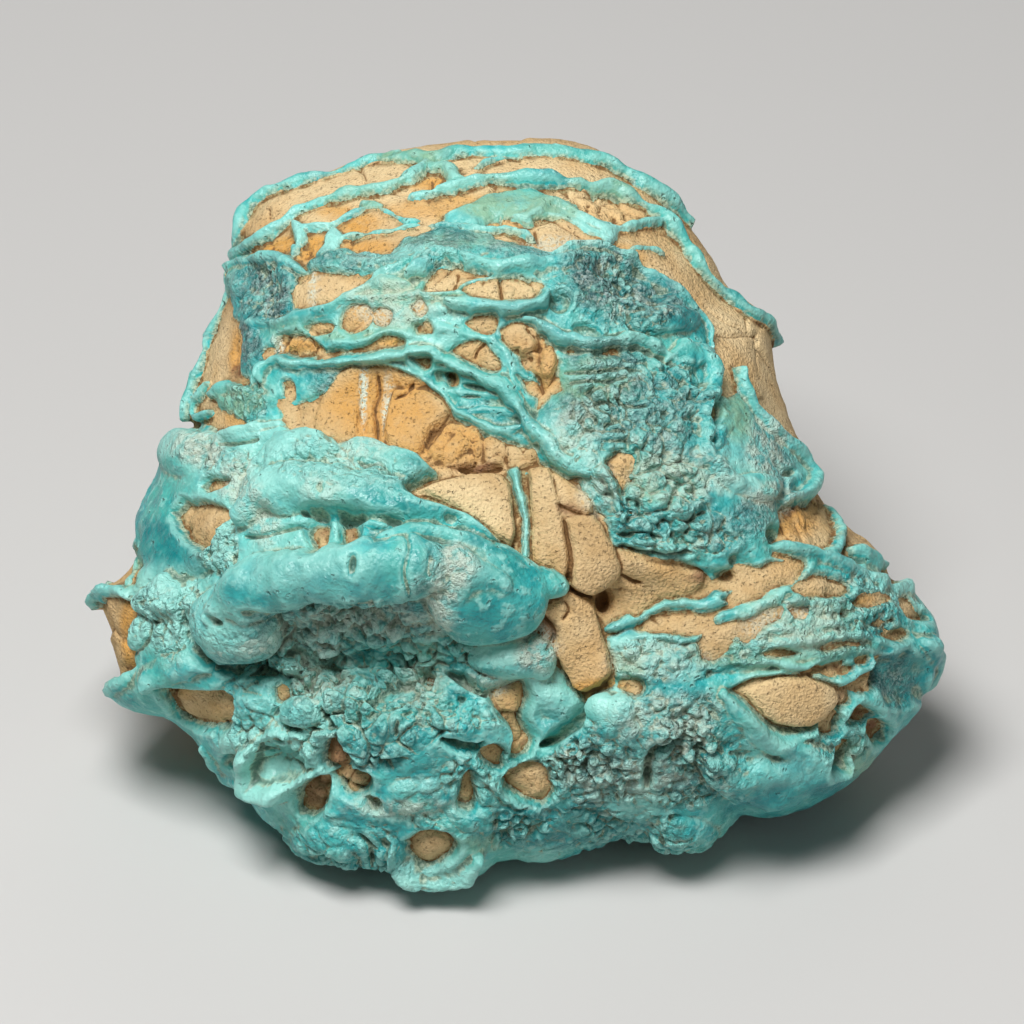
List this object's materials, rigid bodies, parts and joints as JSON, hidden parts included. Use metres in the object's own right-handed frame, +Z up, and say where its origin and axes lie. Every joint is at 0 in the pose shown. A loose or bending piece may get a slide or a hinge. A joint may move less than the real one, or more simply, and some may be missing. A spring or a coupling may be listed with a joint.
{
  "type": "raw turquoise nugget",
  "caption": "Rough hand-sized mineral nugget: blue-green turquoise veins, rolls and crust grown through tan host rock, resting on a worn base.",
  "frame": {"origin": "middle of the worn flat that the stone rests on", "axes": "+X to the right along the stone's longest way seen from its show face, +Y to the back, +Z up; the show face looks towards -Y and up"},
  "size_m": [0.0864, 0.0631, 0.0558],
  "materials": {
    "turquoise": "satin waxy turquoise crust with windows of matt tan host rock"
  },
  "bodies": {
    "root": {"turquoise_nugget": "turquoise"}
  },
  "joints": []
}
